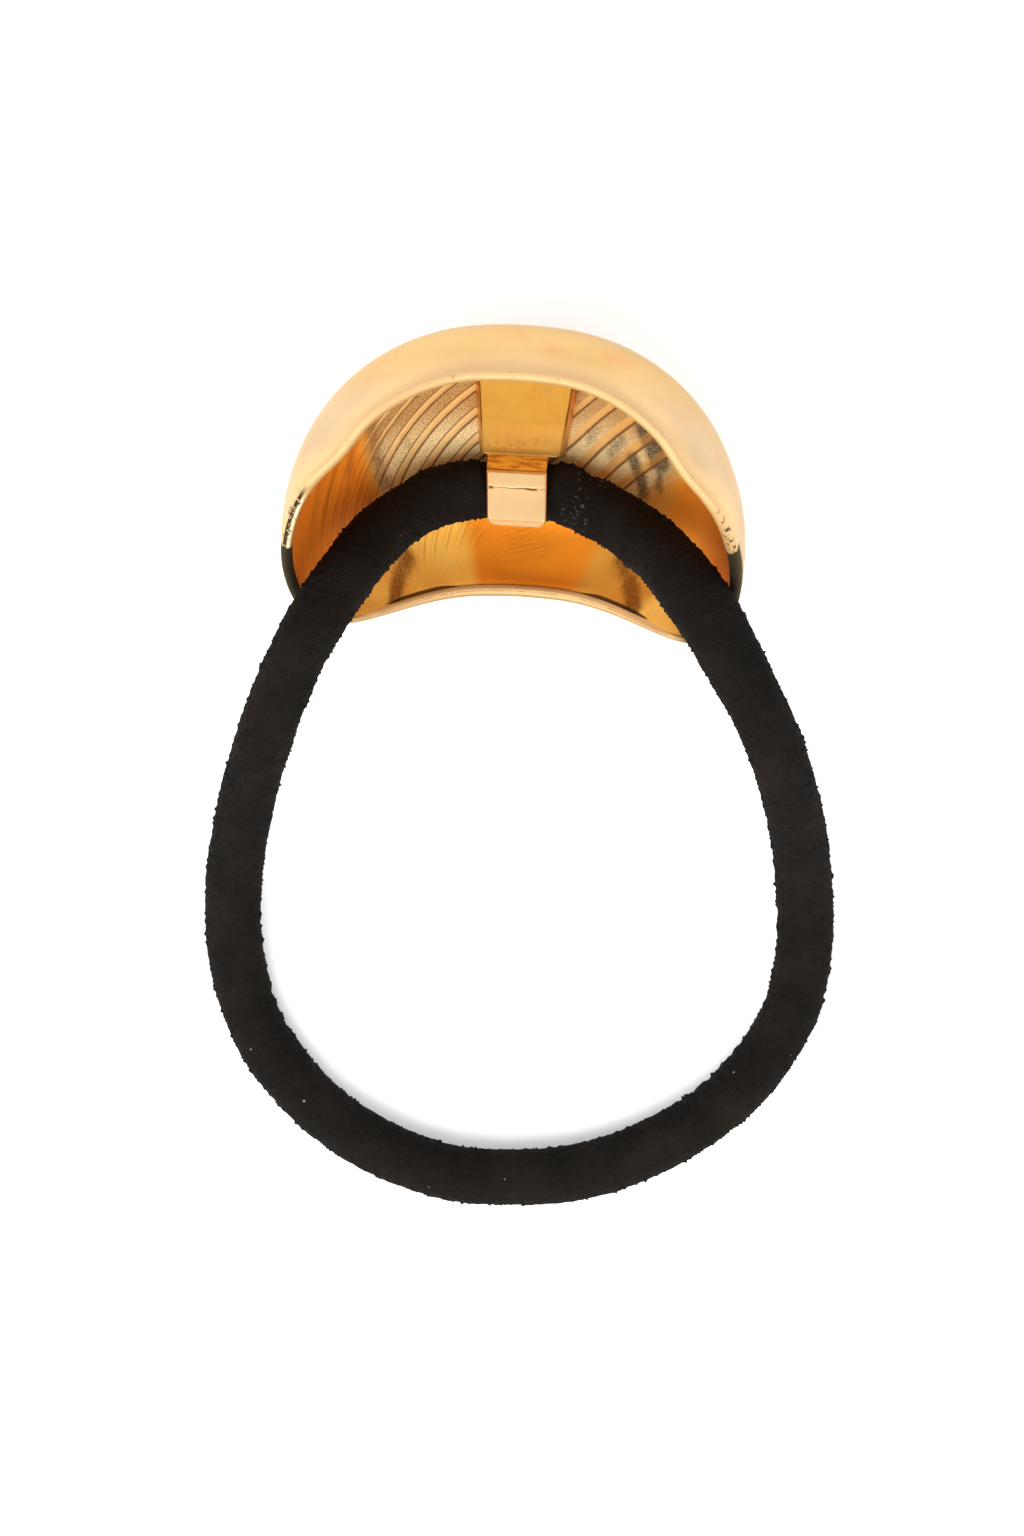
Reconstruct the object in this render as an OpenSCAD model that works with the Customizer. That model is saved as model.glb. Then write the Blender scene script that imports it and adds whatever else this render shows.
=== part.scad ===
// Ponytail cuff on an elastic loop, as it lies on a table: a leaf-shaped curved shell with a strap
// and keeper soldered inside it, and a closed loop of round elastic cord held in the keeper.
// Z is up, the loop lies towards -Y, and the origin is on the table under the middle of the cuff.

/* [Shell] */
// Half of the shell's width, measured along the wall round the ponytail
wrap_half = 31.8; // [31:0.1:32.5]
// Half of the shell's height, measured along the wall from the middle to a rim
height_half = 21.7; // [21:0.1:22.5]
// Power of the outline towards the two ends, where 2 is an ellipse
end_power = 2.2; // [2:0.1:2.5]
// Power of the outline towards the two long rims, where 2 is an ellipse
rim_power = 4.15; // [3.8:0.05:4.6]
// Radius of the arch over the crown
crown_r = 31; // [29:0.5:34]
// Half of the arc that has the crown's radius
crown_half = 4.2; // [3.6:0.1:5]
// Radius of the arch over the two shoulders
shoulder_r = 17.4; // [17:0.1:18]
// Radius of the wall from rim to rim, in its middle
belly_r = 24.5; // [23:0.5:27]
// Half of the arc that has the middle's radius
belly_half = 7.1; // [6.5:0.1:7.6]
// Radius of the wall towards each long rim
lip_r = 12.65; // [12.3:0.05:13.2]
// Thickness of the wall
wall = 1; // [0.8:0.1:1.2]
// Depth of the pinch in the wall at the two ends of the near rim
pinch = 0.6; // [0:0.1:0.8]
// Angle by which the shell leans back as it lies
lean = 36; // [34:1:38]

/* [Strap and keeper] */
// Width of the strap at its upper end
strap_top_w = 8.9; // [8:0.1:9.4]
// Width of the strap where it meets the keeper
strap_foot_w = 6.6; // [6.2:0.1:7]
// Width of the keeper's tab
tab_w = 5.2; // [4.8:0.1:5.6]
// Thickness of the keeper's tab
tab_t = 0.85; // [0.7:0.05:0.85]
// Length of the tab's flat face
tab_len = 4.7; // [4.2:0.1:5]
// Angle of the tab to the plane across the ponytail
tab_pitch = 36; // [35:1:37]

/* [Elastic] */
// Diameter of the elastic cord
cord_d = 5; // [4.6:0.1:5]
// Sides of the cord's section
cord_sides = 12; // [8:2:12]

/* [Hidden] */

// Grid of the shell: steps round the wrap and from rim to rim, and how near the ends it goes
wrap_steps = 48;
height_steps = 20;
end_angle = 89;
// The grid stops short of the outline, and the rounded rim passes it by as much
rim_inset = wall / 4;
rim_angles = [45, 0, -45];

// Where the pinch is deepest and how far it reaches, round the wrap and towards the near rim
pinch_at = [29, 13.4];
pinch_reach = [3, 3.1];

// Side of the strap and keeper, from the crown point, along and up from the tab's face
strap_top_at = 4.5;
strap_base_at = -9.2;
strap_sink = 0.3;
strap_foot = [-6.6, -2.5];
tab_root = [-8.1, -0.3];
tab_bevel = 0.4;
neck_back = [-7, -3.3];
neck_under = -8.45;
keeper_shift = -0.35;
tab_corner_r = 0.9;

// Plan of the strap: its upper edge, and how far the foot's full width runs on over the neck
plan_top = 3;
foot_run = 1.2;
// Overlap that joins two outlines
lap = 0.1;

// Rings of the cord between two points of its route
rings_per_leg = 2;

// Points of the cord's centre line, closed: out of the keeper, up over the right end of the shell,
// down to the table and round on it, and back over the left end
route = [
    [-0.8, -1.1, 4.3], [2.3, -1.1, 4.4], [5, -1.8, 4.8], [7.6, -2.9, 6], [10.2, -4.5, 8.5],
    [12.7, -6.3, 13.3], [15, -8.4, 17.8], [17, -10.8, 20.1], [18.8, -13.4, 21], [20.4, -16, 21],
    [22.3, -19.5, 19.9], [24, -23.6, 16.8], [25.3, -28.4, 11.4], [26.1, -33.7, 6.7],
    [26.4, -39, 3.9], [25.5, -44.8, 2.7], [22.7, -50.1, 2.5], [18.6, -54.4, 2.5],
    [13.6, -57.7, 2.5], [8, -59.9, 2.5], [1.9, -60.8, 2.5], [-4.2, -60.5, 2.5],
    [-10.2, -58.5, 2.5], [-15.7, -55, 2.5], [-20, -50.1, 2.5], [-22.5, -44.4, 2.8],
    [-23.3, -38.4, 4.1], [-22.9, -32.6, 6.9], [-21.6, -26.7, 11.4], [-20, -21.5, 15.5],
    [-18.5, -17.4, 17.5], [-17.1, -14, 17.9], [-15.6, -11.1, 17.1], [-14, -8.4, 15.1],
    [-12.3, -5.8, 11.4], [-10.2, -3.8, 8], [-7.7, -2.3, 5.8], [-4.1, -1.3, 4.5]
];

// A curve of two radii from the middle outwards: [along, inwards, angle] at arc length l
function two_arc(l, r_mid, half, r_out) =
    let (turn = half / r_mid * 180 / PI, m = abs(l), side = sign(l))
    m <= half
        ? let (a = m / r_mid * 180 / PI)
          [side * r_mid * sin(a), r_mid * (cos(a) - 1), side * a]
        : let (a = turn + (m - half) / r_out * 180 / PI)
          [side * (r_mid * sin(turn) + r_out * (sin(a) - sin(turn))),
           r_mid * (cos(turn) - 1) + r_out * (cos(a) - cos(turn)), side * a];

// How far the wall is pinched in at arc lengths s round the wrap and t towards the near rim
function pinched(s, t) =
    let (u = (abs(s) - pinch_at[0]) / pinch_reach[0], v = (t - pinch_at[1]) / pinch_reach[1])
    pinch * exp(-u * u - v * v);

// Point of the shell at arc lengths s round the wrap and t from the middle to the near rim,
// off millimetres outside the middle of the wall, with +Y outwards at the crown
function shell_point(s, t, off) =
    let (arch = two_arc(s, crown_r, crown_half, shoulder_r),
         side = two_arc(t, belly_r, belly_half, lip_r),
         rise = off - pinched(s, t),
         out = side[1] + rise * cos(side[2]))
    [arch[0] + out * sin(arch[2]), arch[1] + out * cos(arch[2]), side[0] + rise * sin(side[2])];

// A point turned back by an angle about X
function leaned(p, angle) =
    [p.x, p.y * cos(angle) + p.z * sin(angle), -p.y * sin(angle) + p.z * cos(angle)];

// Half height of the grid at arc length s, and the outline's outward direction at a point
grid_a = wrap_half - rim_inset;
grid_b = height_half - rim_inset;
function half_height(s) = grid_b * pow(1 - pow(abs(s) / grid_a, end_power), 1 / rim_power);
function outward(s, t) =
    let (v = [end_power * pow(abs(s) / grid_a, end_power - 1) / grid_a * sign(s),
              rim_power * pow(abs(t) / grid_b, rim_power - 1) / grid_b * sign(t)])
    v / norm(v);

function grid_s(i) = grid_a * sin(end_angle * (2 * i / wrap_steps - 1));
function grid_t(i, j) = half_height(grid_s(i)) * sin(90 * (2 * j / height_steps - 1));

// The grid's edge as [i, j] pairs, once round
edge = concat(
    [for (i = [0 : wrap_steps - 1]) [i, 0]],
    [for (j = [0 : height_steps - 1]) [wrap_steps, j]],
    [for (i = [wrap_steps : -1 : 1]) [i, height_steps]],
    [for (j = [height_steps : -1 : 1]) [0, j]]
);
edge_n = len(edge);
columns = height_steps + 1;
grid_n = (wrap_steps + 1) * columns;

function grid_points(off) =
    [for (i = [0 : wrap_steps], j = [0 : height_steps]) shell_point(grid_s(i), grid_t(i, j), off)];
function rim_points(angle) =
    [for (e = edge)
        let (s = grid_s(e[0]), t = grid_t(e[0], e[1]),
             step = 2 * rim_inset * cos(angle) * outward(s, t))
        shell_point(s + step[0], t + step[1], wall / 2 * sin(angle))];

shell_points = concat(grid_points(wall / 2), grid_points(-wall / 2),
    [for (angle = rim_angles, p = rim_points(angle)) p]);

// Two triangles over four corners, in order round the face
function two_triangles(a, b, c, d) = [[a, b, c], [a, c, d]];
function grid_faces(first, turned) =
    [for (i = [0 : wrap_steps - 1], j = [0 : height_steps - 1])
        let (a = first + i * columns + j, b = a + columns)
        each turned ? two_triangles(a, a + 1, b + 1, b) : two_triangles(a, b, b + 1, a + 1)];
// Index of edge point k in a row: the outer grid, the rim's rows, the inner grid
function edge_index(row, k) =
    let (e = edge[k % edge_n], at = e[0] * columns + e[1])
    row == 0 ? at
    : row > len(rim_angles) ? grid_n + at
    : 2 * grid_n + (row - 1) * edge_n + k % edge_n;
rim_faces = [for (row = [0 : len(rim_angles)], k = [0 : edge_n - 1])
    each two_triangles(edge_index(row, k), edge_index(row, k + 1),
        edge_index(row + 1, k + 1), edge_index(row + 1, k))];
shell_faces = concat(grid_faces(0, false), grid_faces(grid_n, true), rim_faces);

// Where the crown point lies, so that the leaned shell rests on the table over the origin
leaned_points = [for (p = shell_points) leaned(p, lean)];
rest_y = -(min([for (p = leaned_points) p.y]) + max([for (p = leaned_points) p.y])) / 2;
rest_z = -min([for (p = leaned_points) p.z]);

// The strap's underside, sunk into the wall, along the shell's middle line
strap_steps = 8;
strap_underside = [for (k = [0 : strap_steps])
    let (t = strap_base_at + (strap_top_at - strap_base_at) * k / strap_steps,
         p = leaned(shell_point(0, t, strap_sink - wall / 2), tab_pitch))
    [p.y, p.z]];
tab_end = tab_root.x - tab_len;

module strap_side() {
    polygon(concat(strap_underside, [
        strap_foot,
        tab_root,
        [tab_end + tab_bevel, tab_root.y],
        [tab_end, tab_root.y - tab_bevel],
        [tab_end, tab_root.y - tab_t],
        [neck_under, tab_root.y - tab_t],
        neck_back
    ]));
}

module strap_plan() {
    foot_y = strap_foot.x;
    polygon([
        [-strap_top_w / 2, plan_top], [strap_top_w / 2, plan_top],
        [strap_foot_w / 2, foot_y], [-strap_foot_w / 2, foot_y]
    ]);
    translate([keeper_shift - tab_w / 2, tab_end + tab_corner_r])
        square([tab_w, foot_y - tab_end - tab_corner_r + lap]);
    for (side = [-1, 1])
        translate([keeper_shift + side * (tab_w / 2 - tab_corner_r), tab_end + tab_corner_r])
            circle(r = tab_corner_r, $fn = 24);
    translate([keeper_shift - tab_w / 2 + tab_corner_r, tab_end])
        square([tab_w - 2 * tab_corner_r, 2 * tab_corner_r]);
    translate([-strap_foot_w / 2, foot_y - foot_run])
        square([strap_foot_w, foot_run + lap]);
}

module strap() {
    intersection() {
        rotate([90, 0, 90]) translate([0, 0, -strap_top_w])
            linear_extrude(2 * strap_top_w) strap_side();
        translate([0, 0, -2 * height_half])
            linear_extrude(4 * height_half) strap_plan();
    }
}

module cuff() {
    color("#d8b076")
    translate([0, rest_y, rest_z]) rotate([-lean, 0, 0]) {
        polyhedron(shell_points, shell_faces);
        rotate([tab_pitch, 0, 0]) strap();
    }
}

// A point on the smooth closed curve through the route, part u of the way along leg i
route_n = len(route);
function on_route(i, u) =
    let (a = route[(i + route_n - 1) % route_n], b = route[i],
         c = route[(i + 1) % route_n], d = route[(i + 2) % route_n])
    (2 * b + (c - a) * u + (2 * a - 5 * b + 4 * c - d) * u * u
        + (3 * b - a - 3 * c + d) * u * u * u) / 2;
cord_line = [for (i = [0 : route_n - 1], k = [0 : rings_per_leg - 1])
    on_route(i, k / rings_per_leg)];
cord_n = len(cord_line);

function unit(v) = v / norm(v);
function cord_ring(k) =
    let (ahead = cord_line[(k + 1) % cord_n], behind = cord_line[(k + cord_n - 1) % cord_n],
         along = unit(ahead - behind), side = unit(cross(along, [0, 0, 1])),
         up = cross(side, along))
    [for (q = [0 : cord_sides - 1])
        let (a = 360 * q / cord_sides - 90)
        cord_line[k] + cord_d / 2 * (cos(a) * side + sin(a) * up)];
cord_faces = [for (k = [0 : cord_n - 1], q = [0 : cord_sides - 1])
    let (here = k * cord_sides, next = ((k + 1) % cord_n) * cord_sides, r = (q + 1) % cord_sides)
    each two_triangles(here + q, here + r, next + r, next + q)];

module elastic_loop() {
    color("#191817")
    polyhedron([for (k = [0 : cord_n - 1]) each cord_ring(k)], cord_faces);
}

cuff();
elastic_loop();
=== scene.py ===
"""The looks of a hair tie: a gold-toned ponytail cuff on a loop of black elastic cord.

It is laid out as an add-on for the 3D view's sidebar and run as a script. Lengths are in metres,
and in millimetres where a table says so and inside the materials.
"""
import bisect
import math

import bmesh
import bpy
from mathutils import Matrix, Vector, noise


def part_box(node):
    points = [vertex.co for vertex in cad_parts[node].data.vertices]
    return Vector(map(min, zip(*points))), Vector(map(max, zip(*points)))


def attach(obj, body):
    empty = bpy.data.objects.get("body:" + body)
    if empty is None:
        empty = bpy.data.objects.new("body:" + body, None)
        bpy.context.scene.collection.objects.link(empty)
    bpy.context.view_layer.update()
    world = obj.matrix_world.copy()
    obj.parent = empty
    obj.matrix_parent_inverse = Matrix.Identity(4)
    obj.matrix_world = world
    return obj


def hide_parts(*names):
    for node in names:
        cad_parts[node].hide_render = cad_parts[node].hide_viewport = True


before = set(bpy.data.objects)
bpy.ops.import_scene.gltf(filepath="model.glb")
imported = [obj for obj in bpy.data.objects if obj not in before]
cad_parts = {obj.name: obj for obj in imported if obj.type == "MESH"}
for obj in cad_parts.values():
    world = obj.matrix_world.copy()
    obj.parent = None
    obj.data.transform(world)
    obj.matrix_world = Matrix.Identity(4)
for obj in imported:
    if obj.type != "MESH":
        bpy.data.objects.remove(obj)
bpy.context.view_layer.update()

bl_info = {
    "name": "Ponytail cuff hair tie",
    "version": (1, 0, 0),
    "blender": (4, 5, 0),
    "location": "3D View > Sidebar > Hair tie",
    "description": "Adds a metal ponytail cuff, its strap and keeper, and the elastic loop it holds",
    "category": "Add Mesh",
}

MM = 0.001

# Centre line of the elastic cord in millimetres, closed: out of the keeper, up over the right end
# of the shell, down to the table and round on it, and back over the left end
ROUTE = (
    (-0.8, -1.1, 4.3), (2.3, -1.1, 4.4), (5, -1.8, 4.8), (7.6, -2.9, 6), (10.2, -4.5, 8.5),
    (12.7, -6.3, 13.3), (15, -8.4, 17.8), (17, -10.8, 20.1), (18.8, -13.4, 21), (20.4, -16, 21),
    (22.3, -19.5, 19.9), (24, -23.6, 16.8), (25.3, -28.4, 11.4), (26.1, -33.7, 6.7),
    (26.4, -39, 3.9), (25.5, -44.8, 2.7), (22.7, -50.1, 2.5), (18.6, -54.4, 2.5),
    (13.6, -57.7, 2.5), (8, -59.9, 2.5), (1.9, -60.8, 2.5), (-4.2, -60.5, 2.5),
    (-10.2, -58.5, 2.5), (-15.7, -55, 2.5), (-20, -50.1, 2.5), (-22.5, -44.4, 2.8),
    (-23.3, -38.4, 4.1), (-22.9, -32.6, 6.9), (-21.6, -26.7, 11.4), (-20, -21.5, 15.5),
    (-18.5, -17.4, 17.5), (-17.1, -14, 17.9), (-15.6, -11.1, 17.1), (-14, -8.4, 15.1),
    (-12.3, -5.8, 11.4), (-10.2, -3.8, 8), (-7.7, -2.3, 5.8), (-4.1, -1.3, 4.5),
)

# Where the ribs inside the shell begin, along the slanted coordinate across them, in millimetres
RIBS = (
    -23.2, -20.5, -18.2, -16.0, -13.9, -11.9, -9.8, -6.6, -3.4, -0.2,
    2.9, 4.7, 6.6, 8.8, 11.3, 14.0, 16.3, 19.0,
)
# How much steeper the ribs stand on the right than on the left
RIB_TURN = 0.38
# A rib is grainy up to this part of its width, and smooth from there to its edge
GRAINY_PART = 0.62

# Dark reflections painted on the inner face: wrap and height of their two ends and half width, in
# millimetres, and their strength
SHADES = (
    (-14.4, -8.8, -14.7, -1.8, 1.0, 0.75),
    (-17.8, -4.6, -16.6, -1.0, 0.9, 0.55),
    (-11.2, -6.0, -11.6, -4.6, 0.6, 0.45),
    (-15.8, -15.9, -19.0, -16.8, 1.1, 0.9),
    (-19.0, -16.8, -23.1, -17.9, 0.8, 1.1),
    (13.6, -16.0, 17.0, -17.0, 1.1, 0.8),
    (17.0, -17.0, 21.5, -18.2, 1.0, 1.1),
    (5.8, -6.4, 6.3, -5.0, 0.9, 0.5),
    (8.1, -7.0, 8.8, -5.0, 0.9, 0.65),
    (10.2, -6.4, 12.4, -9.5, 0.8, 1.0),
    (11.4, -2.6, 13.0, -5.2, 1.2, 1.6),
    (13.4, -6.6, 13.8, -8.0, 0.6, 0.8),
)
# Tint of the plating's reflections at grazing angles
TINT = (0.93, 0.82, 0.66, 1)

# Where the pinch in the wall is deepest and how far it reaches, round the wrap and upwards
PINCH_AT = (0.029, 0.0134)
PINCH_REACH = (0.003, 0.0031)

# Sections of the strap and keeper in millimetres from the crown point, along Y and Z: the face,
# the underside, half of the width at each, and the middle's place along X
STRAP = (
    ((2.6, 5), (2.17, 4.4), 4.5, 4.75, 0.1),
    ((1.6, 4.1), (1.47, 2.99), 4.38, 4.66, 0.06),
    ((-0.9, 2.05), (-0.46, -0.04), 4.05, 4.52, -0.04),
    ((-4, -0.5), (-3.39, -3.32), 3.72, 4.19, -0.18),
    ((-6.4, -2.4), (-5.99, -5.47), 3.38, 3.85, -0.32),
    ((-6.68, -2.63), (-6.6, -6), 3.33, 3.8, -0.35),
    ((-6.71, -2.58), (-6.72, -5.8), 2.62, 3.5, -0.6),
    ((-6.75, -2.51), (-6.8, -5.4), 2.61, 2.66, -0.62),
    ((-7, -2.12), (-6.9, -4.6), 2.59, 2.59, -0.62),
    ((-7.5, -1.35), (-7, -3.3), 2.58, 2.58, -0.6),
    ((-7.92, -0.7), (-7.8, -2), 2.57, 2.57, -0.58),
    ((-8, -0.58), (-8.3, -1.4), 2.56, 2.56, -0.56),
    ((-8.04, -0.46), (-8.45, -1.15), 2.59, 2.58, -0.54),
    ((-8.12, -0.34), (-8.5, -1.15), 2.62, 2.6, -0.53),
    ((-8.26, -0.3), (-8.56, -1.15), 2.62, 2.6, -0.52),
    ((-9.2, -0.29), (-9.2, -1.15), 2.61, 2.6, -0.47),
    ((-9.8, -0.29), (-9.8, -1.15), 2.61, 2.6, -0.44),
    ((-12.15, -0.3), (-12.15, -1.15), 2.6, 2.6, -0.32),
    ((-12.58, -0.3), (-12.58, -1.15), 2.6, 2.6, -0.31),
    ((-12.7, -0.34), (-12.66, -1.13), 2.59, 2.59, -0.3),
    ((-12.77, -0.45), (-12.75, -1.06), 2.58, 2.58, -0.3),
    ((-12.8, -0.6), (-12.8, -0.92), 2.57, 2.57, -0.3),
)
# Rows of the rim, from the inner face round to the outer: their angle and how full they are; the
# second one makes a fine groove
RIM = ((-80, 1.0), (-64, 0.93), (-48, 1.0), (-24, 1.0), (0, 1.0), (24, 1.0), (48, 1.0), (70, 1.0))
# Along Y from the crown point: the valley between strap and neck, the tab's root and its end
VALLEY_AT = -0.00668
TAB_ROOT = -0.0081
TAB_END = -0.0128
# Radius of the tab's two corners
TAB_CORNER = 0.0009
# Where the broken seam runs across the tab, and how far from it the sections are closer
SEAM_AT = -0.0095
SEAM_REACH = 0.0006
# Parts of the broken seam across the tab: from and to, in half widths, and its half thickness
SEAM_PARTS = (
    (-0.93, -0.79, 0.00014), (-0.76, -0.42, 0.00003), (-0.40, -0.12, 0.00004),
    (-0.08, 0.30, 0.00006), (0.30, 0.70, 0.00011), (0.80, 0.83, 0.00010), (0.89, 0.92, 0.00010),
)

# Wrinkles where the elastic is squeezed on the inside of its bends: the place of their middle
# along the loop, half of the stretch they take, and their depth
WRINKLES = (
    (0.0760, 0.0025, 0.00008), (0.0815, 0.0035, 0.00016), (0.1180, 0.0040, 0.00008),
    (0.1285, 0.0030, 0.00020),
)
# Where the elastic is fuller: along the loop, the swelling's start, its full part and its end,
# then its side, 1 on the inside of the loop and -1 on the outside, and its height
SWELLINGS = (
    (0.0031, 0.0036, 0.0044, 0.0058, -1, 0.00035), (0.0062, 0.0130, 0.0270, 0.0360, -1, 0.00045),
    (0.0200, 0.0240, 0.0320, 0.0380, 1, 0.00025), (0.1650, 0.1700, 0.1800, 0.1850, 1, 0.00020),
    (0.1860, 0.1885, 0.1923, 0.1929, -1, 0.00030),
)
# Where the two ends of the elastic are glued together, along the loop
JOINT = (0.0045, 0.0090)
# How far the knit's even surface lies inside the cord's stated size
KNIT_SINK = 0.00008


def metres(lengths):
    """Lengths in metres, from millimetres."""
    return [length * MM for length in lengths]


def two_arc(length, r_middle, half, r_outer):
    """A curve of two radii from the middle outwards: how far along, how far inwards, its angle."""
    side = math.copysign(1.0, length)
    reach = abs(length)
    turn = half / r_middle
    if reach <= half:
        angle = reach / r_middle
        return side * r_middle * math.sin(angle), r_middle * (math.cos(angle) - 1), side * angle
    angle = turn + (reach - half) / r_outer
    along = r_middle * math.sin(turn) + r_outer * (math.sin(angle) - math.sin(turn))
    inward = r_middle * (math.cos(turn) - 1) + r_outer * (math.cos(angle) - math.cos(turn))
    return side * along, inward, side * angle


def pinched(sizes, wrap, height):
    """How far the wall is pinched in, at the two ends of the near rim."""
    u = (abs(wrap) - PINCH_AT[0]) / PINCH_REACH[0]
    v = (height - PINCH_AT[1]) / PINCH_REACH[1]
    return sizes.pinch * math.exp(-u * u - v * v)


def shell_point(sizes, wrap, height, off):
    """Point of the shell, off outside the middle of its wall, leaned back as it lies."""
    arch = two_arc(wrap, sizes.crown_radius, sizes.crown_half, sizes.shoulder_radius)
    side = two_arc(height, sizes.belly_radius, sizes.belly_half, sizes.lip_radius)
    rise = off - pinched(sizes, wrap, height)
    out = side[1] + rise * math.cos(side[2])
    y = arch[1] + out * math.cos(arch[2])
    z = side[0] + rise * math.sin(side[2])
    cos, sin = math.cos(sizes.lean), math.sin(sizes.lean)
    return Vector((arch[0] + out * math.sin(arch[2]), y * cos + z * sin, -y * sin + z * cos))


def grid_reach(sizes):
    """Half of the wrap and of the height that the even wall covers, inside its rounded rim."""
    inset = sizes.wall / 4
    return sizes.wrap_half - inset, sizes.height_half - inset


def half_height(sizes, wrap):
    """Half height of the even wall at a place on the wrap."""
    a, b = grid_reach(sizes)
    left = max(0.0, 1 - abs(wrap / a) ** sizes.end_power)
    return b * left ** (1 / sizes.rim_power)


def outward(sizes, wrap, height):
    """Direction straight out of the outline, in the wall."""
    a, b = grid_reach(sizes)
    p, q = sizes.end_power, sizes.rim_power
    along = math.copysign(p / a * abs(wrap / a) ** (p - 1), wrap)
    up = math.copysign(q / b * abs(height / b) ** (q - 1), height)
    return Vector((along, up)).normalized()


def rim_distance(sizes, wrap, height):
    """How far inside the outline a place on the wall is."""
    a, b = grid_reach(sizes)
    p, q = sizes.end_power, sizes.rim_power
    level = abs(wrap / a) ** p + abs(height / b) ** q
    slope = math.hypot(p / a * abs(wrap / a) ** (p - 1), q / b * abs(height / b) ** (q - 1))
    return max(0.0, 1 - level) / max(slope, 1 / a)


def crown_point(sizes):
    """Where the shell's crown lies, so that the shell fills the CAD cuff's box."""
    low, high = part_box("cuff")
    steps = 60
    a = grid_reach(sizes)[0]
    points = []
    for i in range(steps + 1):
        wrap = a * math.sin(math.radians(89) * (2 * i / steps - 1))
        top = half_height(sizes, wrap)
        for j in range(steps + 1):
            height = top * math.sin(math.pi / 2 * (2 * j / steps - 1))
            for off in (sizes.wall / 2, -sizes.wall / 2):
                points.append(shell_point(sizes, wrap, height, off))
    ys = [p.y for p in points]
    z = low[2] - min(p.z for p in points)
    return Vector((0, (low[1] + high[1] - min(ys) - max(ys)) / 2, z))


def smooth(low, high, value):
    """Zero under low, one over high, and smooth between."""
    x = min(1.0, max(0.0, (value - low) / (high - low)))
    return x * x * (3 - 2 * x)


def rib_place(wrap, height):
    """The slanted coordinate across the ribs; they stand steeper on the right."""
    slope = 1.0 - RIB_TURN * smooth(-0.006, 0.006, wrap)
    return wrap - slope * height


def rib_rise(part):
    """Height over one rib, from 0 to 1: a slow slope, a rounded edge and a sharp drop."""
    if part < GRAINY_PART:
        return 0.45 * part / GRAINY_PART
    edge = min(1.0, (part - GRAINY_PART) / (0.93 - GRAINY_PART))
    return (0.45 + 0.55 * math.sin(edge * math.pi / 2)) * smooth(1.0, 0.93, part)


def inner_relief(sizes, wrap, height):
    """How far the inner face stands in from the even wall: ribs, a rim groove and unevenness."""
    place = rib_place(wrap, height) / MM
    k = bisect.bisect_right(RIBS, place) - 1
    rise = 0.0
    if 0 <= k < len(RIBS) - 1:
        part = (place - RIBS[k]) / (RIBS[k + 1] - RIBS[k])
        rise = rib_rise(part)
        rise -= 0.25 * math.exp(-((part - GRAINY_PART) / 0.04) ** 2) * smooth(0.002, -0.002, wrap)
    low_left = 0.15 * smooth(-0.003, -0.006, wrap) * smooth(-0.0178, -0.0162, height)
    shown = low_left + (1 - low_left) * smooth(-0.0135, -0.0105, height)
    shown *= smooth(0.0225, 0.016, abs(wrap)) * smooth(0.0205, 0.0185, height)
    from_rim = rim_distance(sizes, wrap, height)
    groove = math.exp(-((from_rim - 0.00045) / 0.0002) ** 2) * smooth(0.0245, 0.022, abs(wrap))
    groove *= smooth(0, -0.005, height)
    spot = Vector((wrap, height, 0.0))
    waves = noise.noise(spot * 260) * 0.00004 + noise.noise(spot * 90) * 0.00006
    return sizes.rib_step * rise * shown - 0.00003 * groove + waves * smooth(0.0, 0.0015, from_rim)


def shade(wrap, height):
    """How dark the reflections painted on the inner face are."""
    most = 0.0
    for wrap_from, height_from, wrap_to, height_to, half, strength in SHADES:
        run = Vector((wrap_to - wrap_from, height_to - height_from))
        to_spot = Vector((wrap / MM - wrap_from, height / MM - height_from))
        part = min(1.0, max(0.0, to_spot.dot(run) / run.dot(run)))
        away = (to_spot - run * part).length / half
        most = max(most, strength * math.exp(-away * away))
    return most


def catmull(points, i, u):
    """Point on the smooth closed curve through points, part u of the way along leg i."""
    n = len(points)
    a, b, c, d = (points[(i + k) % n] for k in (-1, 0, 1, 2))
    bend = (2 * a - 5 * b + 4 * c - d) * u * u + (3 * b - a - 3 * c + d) * u ** 3
    return (2 * b + (c - a) * u + bend) / 2


def even_line(points, count):
    """count points evenly spaced along the closed curve, and its length."""
    fine = 24
    raw = [catmull(points, i, k / fine) for i in range(len(points)) for k in range(fine)]
    raw.append(raw[0])
    run = [0.0]
    for a, b in zip(raw, raw[1:]):
        run.append(run[-1] + (b - a).length)
    line = []
    for k in range(count):
        want = run[-1] * k / count
        i = bisect.bisect_right(run, want) - 1
        part = (want - run[i]) / (run[i + 1] - run[i])
        line.append(raw[i].lerp(raw[i + 1], part))
    return line, run[-1]


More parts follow.
